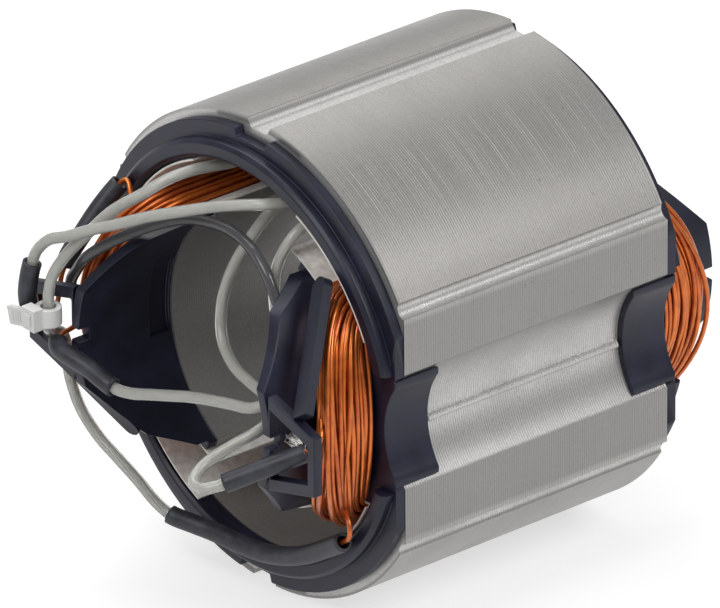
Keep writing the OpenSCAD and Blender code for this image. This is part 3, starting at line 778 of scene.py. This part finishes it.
class STATOR_OT_lamination_stack(bpy.types.Operator):
    """Builds the steel stack with its sheets' edges and its weld beads"""

    bl_idname = "stator.lamination_stack"
    bl_label = "Lamination Stack"

    def execute(self, context):
        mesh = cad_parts["lamination_stack"].data.copy()
        bm = bmesh.new()
        bm.from_mesh(mesh)
        bmesh.ops.remove_doubles(bm, verts=bm.verts, dist=MERGED)
        low, high = STACK_LOW[1], STACK_HIGH[1]
        front = {f for f in bm.faces if all(abs(v.co.y - low) < FLUSH for v in f.verts)}
        rear = {f for f in bm.faces if all(abs(v.co.y - high) < FLUSH for v in f.verts)}
        loops = loops_of(rim_of(front))
        outer = max(loops, key=lambda loop: max(v.co.z for v in loop))
        bmesh.ops.delete(bm, geom=list(self.walls(outer, front | rear)), context="FACES")
        for side in (1, -1):
            self.weld(bm, side)
        sweep(bm, outer, self.sheets(low, high))
        bmesh.ops.remove_doubles(bm, verts=bm.verts, dist=MERGED)
        bmesh.ops.recalc_face_normals(bm, faces=bm.faces)
        bm.to_mesh(mesh)
        bm.free()
        smooth_faces(mesh, sharp=12)
        piece = add_object("lamination_sheets", mesh)
        dress(piece, steel_finish())
        settle(piece, "lamination_steel", "lamination_stack")
        return {"FINISHED"}

    def walls(self, loop, ends):
        """All faces that can be reached from a loop without crossing the ends"""
        ahead = [f for v in loop for f in v.link_faces if f not in ends]
        found = set(ahead)
        while ahead:
            for edge in ahead.pop().edges:
                for face in edge.link_faces:
                    if face not in found and face not in ends:
                        found.add(face)
                        ahead.append(face)
        return found

    def sheets(self, low, high):
        """Levels of the sheets' edges, each a hair proud of the next or behind it, with a groove between"""
        rng = random.Random(SHEET_SEED)
        count = round((high - low) / sizes().sheet_pitch)
        pitch = (high - low) / count
        groove = GROOVE_SHARE * pitch
        levels = []
        for k in range(count):
            start, end = low + k * pitch, low + k * pitch + pitch
            step = rng.uniform(-SHEET_PLAY, 0.0) * MM
            levels += [(start + groove, step), (end - groove, step), (end, -GROOVE_DEPTH * MM)]
        levels[-1] = (high, 0.0)
        return levels

    def weld(self, bm, side):
        """The ribbed weld bead in the screw channel"""
        x, z, r, half = (value * MM for value in BEAD)
        step = sizes().sheet_pitch / 2
        count = round(half / step)
        place = Matrix.Translation((side * x, -count * step, z)) @ Matrix.Rotation(math.pi / 2, 4, "X")
        ring = bmesh.ops.create_circle(bm, cap_ends=True, segments=16, radius=r, matrix=place)["verts"]
        ring = sweep(bm, ring, [(i * step, (i % 2) * -BEAD_RIB * MM) for i in range(1 - count, count + 1)])
        bmesh.ops.contextual_create(bm, geom=ring)


class STATOR_OT_end_insulators(bpy.types.Operator):
    """Builds the moulded end insulators with rounded edges"""

    bl_idname = "stator.end_insulators"
    bl_label = "End Insulators"

    def execute(self, context):
        finish = insulator_finish()
        for node in ("front_end_insulator", "rear_end_insulator"):
            piece = self.rounded_copy(node)
            dress(piece, finish)
            settle(piece, "insulator_plastic", node)
        return {"FINISHED"}

    def rounded_copy(self, node):
        """A copy of a node with its sharp edges rounded where its faces leave room for it"""
        width = sizes().edge_round
        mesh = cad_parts[node].data.copy()
        bm = bmesh.new()
        bm.from_mesh(mesh)
        bmesh.ops.remove_doubles(bm, verts=bm.verts, dist=MERGED)
        bmesh.ops.dissolve_limit(bm, angle_limit=math.radians(1), verts=bm.verts, edges=bm.edges)
        bmesh.ops.dissolve_degenerate(bm, edges=bm.edges, dist=LEAST_EDGE * MM)
        bmesh.ops.triangulate(bm, faces=bm.faces)
        sharp = [e for e in bm.edges if e.calc_face_angle(0) > SHARP_EDGE]
        roomy = {v for e in sharp for v in e.verts if self.room(v) > EDGE_ROOM * width}
        bmesh.ops.bevel(
            bm, geom=[e for e in sharp if roomy.issuperset(e.verts)], offset=width, segments=2, profile=0.5,
            affect="EDGES", clamp_overlap=False, material=-1,
        )
        bm.to_mesh(mesh)
        bm.free()
        smooth_faces(mesh, sharp=50)
        piece = add_object(node + "_moulding", mesh)
        piece.modifiers.new("shading", "WEIGHTED_NORMAL").keep_sharp = True
        return piece

    def room(self, vert):
        """Least distance from a corner to the far side of a triangle round it"""
        return min(
            2 * face.calc_area() / next(e for e in face.edges if vert not in e.verts).calc_length()
            for face in vert.link_faces
        )


class STATOR_OT_coils(bpy.types.Operator):
    """Winds the two coils turn by turn"""

    bl_idname = "stator.coils"
    bl_label = "Coils"

    def execute(self, context):
        finish = copper_finish()
        for node, side, tails in (("left_coil", -1, (1, 2)), ("right_coil", 1, (3, 4))):
            piece = coil_object(node + "_winding", side, tails)
            number_turns(piece)
            dress(piece, finish)
            settle(piece, "enamelled_copper", node)
        return {"FINISHED"}


class STATOR_OT_slot_liners(bpy.types.Operator):
    """Gives the slot liners the finish of pressed paper"""

    bl_idname = "stator.slot_liners"
    bl_label = "Slot Liners"

    def execute(self, context):
        finish = paper_finish()
        for name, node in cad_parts.items():
            if name.startswith("slot_liner"):
                dress(node, finish)
        return {"FINISHED"}


class STATOR_OT_sleeves(bpy.types.Operator):
    """Draws the sleeves over the splices and the coil's tail"""

    bl_idname = "stator.sleeves"
    bl_label = "Sleeves"

    def execute(self, context):
        finish = sleeve_finish()
        for number, stretch in SLEEVED.items():
            self.sleeve(f"splice_sleeve_{number}", number, stretch, finish)
        self.sleeve("tail_sleeve", 1, TAIL_SLEEVED, finish)
        return {"FINISHED"}

    def sleeve(self, node, number, stretch, finish):
        s = sizes()
        curve = round_curve(node, s.sleeve_d / 2, 6, capped=False)
        add_stretch(curve, RUNS[number], *stretch)
        piece = mesh_of_curve(node + "_skin", curve)
        bm = bmesh.new()
        bm.from_mesh(piece.data)
        bmesh.ops.recalc_face_normals(bm, faces=bm.faces)
        bmesh.ops.solidify(bm, geom=bm.faces[:], thickness=s.sleeve_wall)
        bm.to_mesh(piece.data)
        bm.free()
        dress(piece, finish)
        settle(piece, "sleeve_rubber", node)


class STATOR_OT_splices(bpy.types.Operator):
    """Builds the soldered splices inside the sleeves and the frayed strands of one"""

    bl_idname = "stator.splices"
    bl_label = "Splices"

    def execute(self, context):
        finish = tin_finish("soldered_strands", colours().tin, 0.3)
        s = sizes()
        for number, stretch in SPLICED.items():
            curve = round_curve("splice", s.strand_d / 2, 1)
            points = walk(RUNS[number], *stretch, step=0.4 * MM)
            for ring, count in SPLICE_RINGS:
                add_strands(curve, points, ring * s.core_d / 2 * SPLICE_SWELL, count, SPLICE_LAY * MM)
            piece = mesh_of_curve(f"splice_{number}_joint", curve)
            dress(piece, finish)
            settle(piece, "tinned_joint", f"splice_{number}")
        self.frayed_strands(finish)
        return {"FINISHED"}

    def frayed_strands(self, finish):
        """Strands that stand out of the third sleeve's mouth behind the guard wall"""
        rng = random.Random(FRAY_SEED)
        curve = round_curve("frayed_strands", sizes().frayed_d / 2, 1)
        for _ in range(FRAYED_COUNT):
            spread = self.scatter(rng, 1)
            add_line(curve, [
                in_frame(place) + (spread + self.scatter(rng, FRAYED_STRAY)) * width * MM
                for place, width in FRAYED_WAY
            ])
        piece = mesh_of_curve("splice_3_loose_strands", curve)
        dress(piece, finish)
        settle(piece, "tinned_joint")

    def scatter(self, rng, most):
        return Vector(rng.uniform(-most, most) for _ in range(3))


class STATOR_OT_leads(bpy.types.Operator):
    """Lays the silicone leads with their stranded cores and bare ends"""

    bl_idname = "stator.leads"
    bl_label = "Leads"

    def execute(self, context):
        silicone = silicone_finish("clear_silicone", colours().silicone, 0.7)
        # The lead over the bore gets clear silicone painted dark, as painted shade for the shaded bore that
        # it crosses
        shaded_silicone = silicone_finish("painted_shade_silicone", colours().shaded_silicone, 0.3)
        tin = tin_finish("core_strands", colours().core, 0.5)
        for number, first in LEAD_START.items():
            run = RUNS[number]
            core = self.core(f"lead_core_{number}", run, first, tin)
            lead = self.lead(f"lead_{number}", run, first, silicone)
        core = self.core("link_core", LINK_RUN, 0, tin)
        # Painted shade: this lead is painted dark where it crosses the shaded bore
        link = self.lead("link_lead", LINK_RUN, 0, shaded_silicone)
        return {"FINISHED"}

    def core(self, node, run, first, finish):
        """The stranded core inside a lead, with its bare end where the lead has one"""
        s = sizes()
        points = walk(run, first, len(run) - 1, step=0.8 * MM)
        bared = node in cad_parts
        if bared:
            way = (points[-1] - points[-2]).normalized()
            points += [points[-1] + way * s.core_len * (i + 1) / BARE_STEPS for i in range(BARE_STEPS)]
        curve = round_curve(node, s.strand_d / 2, 1)
        add_strands(curve, points, (s.core_d - s.strand_d) / 2, CORE_STRANDS, CORE_LAY * MM)
        piece = mesh_of_curve(node + "_strands", curve)
        dress(piece, finish)
        return settle(piece, "tinned_joint", *([node] if bared else []))

    def lead(self, node, run, first, finish):
        curve = round_curve(node + "_line", sizes().lead_d / 2)
        add_stretch(curve, run, first, len(run) - 1)
        lead = add_object(node + "_cover", curve)
        dress(lead, finish)
        return settle(lead, "lead_insulation", node)


class STATOR_OT_cable_tie(bpy.types.Operator):
    """Builds the cable tie with its loop, head and toothed tail"""

    bl_idname = "stator.cable_tie"
    bl_label = "Cable Tie"

    def execute(self, context):
        bm = bmesh.new()
        self.loop(bm)
        self.box(bm, TIE_HEAD)
        self.box(bm, TIE_PAWL)
        self.tail(bm)
        upright = Matrix.Rotation(math.pi / 2, 4, "X") @ Matrix.Scale(MM, 4)
        stand = Matrix.Translation(in_frame(TIE_CENTRE)) @ upright
        bmesh.ops.transform(bm, matrix=stand, verts=bm.verts)
        bmesh.ops.recalc_face_normals(bm, faces=bm.faces)
        mesh = bpy.data.meshes.new("cable_tie")
        bm.to_mesh(mesh)
        bm.free()
        piece = add_object("cable_tie_strap", mesh)
        round_edges(piece, TIE_ROUND * MM, segments=3)
        dress(piece, nylon_finish())
        settle(piece, "tie_nylon", "cable_tie")
        return {"FINISHED"}

    def loop(self, bm):
        """The strap's loop, in millimetres about its own axis"""
        inner, outer, half = TIE_LOOP
        middle = Matrix.Translation(((inner + outer) / 2, 0, 0))
        place = middle @ Matrix.Diagonal((outer - inner, 2 * half, 1, 1))
        section = bmesh.ops.create_grid(bm, x_segments=1, y_segments=1, size=0.5, matrix=place)["verts"]
        bmesh.ops.delete(bm, geom=bm.faces[:], context="FACES_ONLY")
        bmesh.ops.spin(
            bm, geom=section + bm.edges[:], axis=(0, 1, 0), angle=2 * math.pi, steps=48, use_merge=True
        )

    def tail(self, bm):
        """The strap's end that sticks out of the head, with its teeth"""
        turned = Matrix.Rotation(math.pi + TIE_TILT, 4, "Z")
        self.box(bm, TIE_TAIL, turned)
        low, high = TIE_TAIL
        for tooth in range(TIE_TEETH):
            x = low[0] + TOOTH_START + TOOTH_PITCH * tooth
            foot = (x, low[1] + TOOTH_MARGIN, high[2] - TOOTH_ROOT)
            self.box(bm, (foot, (x + TOOTH_WIDTH, high[1] - TOOTH_MARGIN, high[2] + TOOTH_TOP)), turned)

    def box(self, bm, corners, turned=Matrix()):
        """A box between two corners, in millimetres"""
        low, high = (Vector(c) for c in corners)
        place = turned @ Matrix.Translation((low + high) / 2) @ Matrix.Diagonal((*(high - low), 1))
        bmesh.ops.create_cube(bm, size=1, matrix=place)


class STATOR_OT_stage(bpy.types.Operator):
    """Sets up the floor, the light and the camera"""

    bl_idname = "stator.stage"
    bl_label = "Stage"

    def execute(self, context):
        self.floor()
        self.lights(context)
        self.camera(context)
        context.scene.view_settings.view_transform = "Standard"
        return {"FINISHED"}

    def floor(self):
        """A pale floor that takes the shadow and is white to the camera and in reflections"""
        mesh = bpy.data.meshes.new("floor")
        bm = bmesh.new()
        bmesh.ops.create_grid(bm, x_segments=1, y_segments=1, size=FLOOR_HALF)
        bmesh.ops.translate(bm, verts=bm.verts, vec=(0, 0, CAD_BOX[0][2]))
        bm.to_mesh(mesh)
        bm.free()
        obj = add_object("floor", mesh)
        f = Finish("pale_floor", colours().floor, 0.9)
        f.link(f.mix(f.noise(3, 2), colours().floor[:], shade(colours().floor, 1.02)), "Base Color")
        f.set("Emission Color", (1, 1, 1, 1))
        path = f.node("ShaderNodeLightPath").outputs
        mirrored = f.math("MAXIMUM", path["Is Glossy Ray"], path["Is Transmission Ray"])
        seen = f.math("MAXIMUM", path["Is Camera Ray"], mirrored)
        f.link(f.math("MULTIPLY", seen, FLOOR_GLOW), "Emission Strength")
        dress(obj, f.material)

    def lights(self, context):
        world = bpy.data.worlds.new("studio")
        world.use_nodes = True
        back = world.node_tree.nodes["Background"]
        back.inputs["Color"].default_value = (1, 1, 1, 1)
        back.inputs["Strength"].default_value = SKY_STRENGTH
        context.scene.world = world
        for name, (place, size, power) in LAMPS.items():
            lamp = bpy.data.lights.new(name, "AREA")
            lamp.size = size
            lamp.energy = power
            obj = add_object(name + "_light", lamp)
            obj.location = place
            obj.rotation_mode = "QUATERNION"
            obj.rotation_quaternion = (-Vector(place)).to_track_quat("-Z", "Y")

    def camera(self, context):
        s = sizes()
        aim = Vector(CAMERA_AIM) * MM
        az, el = s.camera_azimuth, s.camera_elevation
        back = Vector((math.sin(az) * math.cos(el), -math.cos(az) * math.cos(el), math.sin(el)))
        data = bpy.data.cameras.new("camera")
        data.sensor_fit = "HORIZONTAL"
        data.lens = s.camera_focus / PHOTO_WIDTH * data.sensor_width
        data.clip_end = 50
        obj = add_object("camera", data)
        obj.location = aim + back * s.camera_distance
        turn = (-back).to_track_quat("-Z", "Y") @ Matrix.Rotation(s.camera_roll, 3, "Z").to_quaternion()
        obj.rotation_mode = "QUATERNION"
        obj.rotation_quaternion = turn
        context.scene.camera = obj


class STATOR_PT_panel(bpy.types.Panel):
    """Lists the stator's operators and settings"""

    bl_label = "Motor Stator"
    bl_idname = "STATOR_PT_panel"
    bl_space_type = "VIEW_3D"
    bl_region_type = "UI"
    bl_category = "Stator"

    def draw(self, context):
        for operator in PIECES:
            self.layout.operator(operator.bl_idname)
        for group in (context.scene.stator_sizes, context.scene.stator_colours):
            box = self.layout.box()
            for key in group.bl_rna.properties.keys():
                if key not in ("rna_type", "name"):
                    box.prop(group, key)


# In the order of their making, with the camera and the cords first
PIECES = (
    STATOR_OT_stage,
    STATOR_OT_leads,
    STATOR_OT_sleeves,
    STATOR_OT_splices,
    STATOR_OT_lamination_stack,
    STATOR_OT_end_insulators,
    STATOR_OT_coils,
    STATOR_OT_slot_liners,
    STATOR_OT_cable_tie,
)
CLASSES = (StatorSizes, StatorColours, *PIECES, STATOR_PT_panel)


def register():
    for cls in CLASSES:
        bpy.utils.register_class(cls)
    bpy.types.Scene.stator_sizes = PointerProperty(type=StatorSizes)
    bpy.types.Scene.stator_colours = PointerProperty(type=StatorColours)


def unregister():
    del bpy.types.Scene.stator_colours
    del bpy.types.Scene.stator_sizes
    for cls in reversed(CLASSES):
        bpy.utils.unregister_class(cls)


def main():
    register()
    for operator in PIECES:
        group, name = operator.bl_idname.split(".")
        getattr(getattr(bpy.ops, group), name)()


if __name__ == "__main__":
    main()
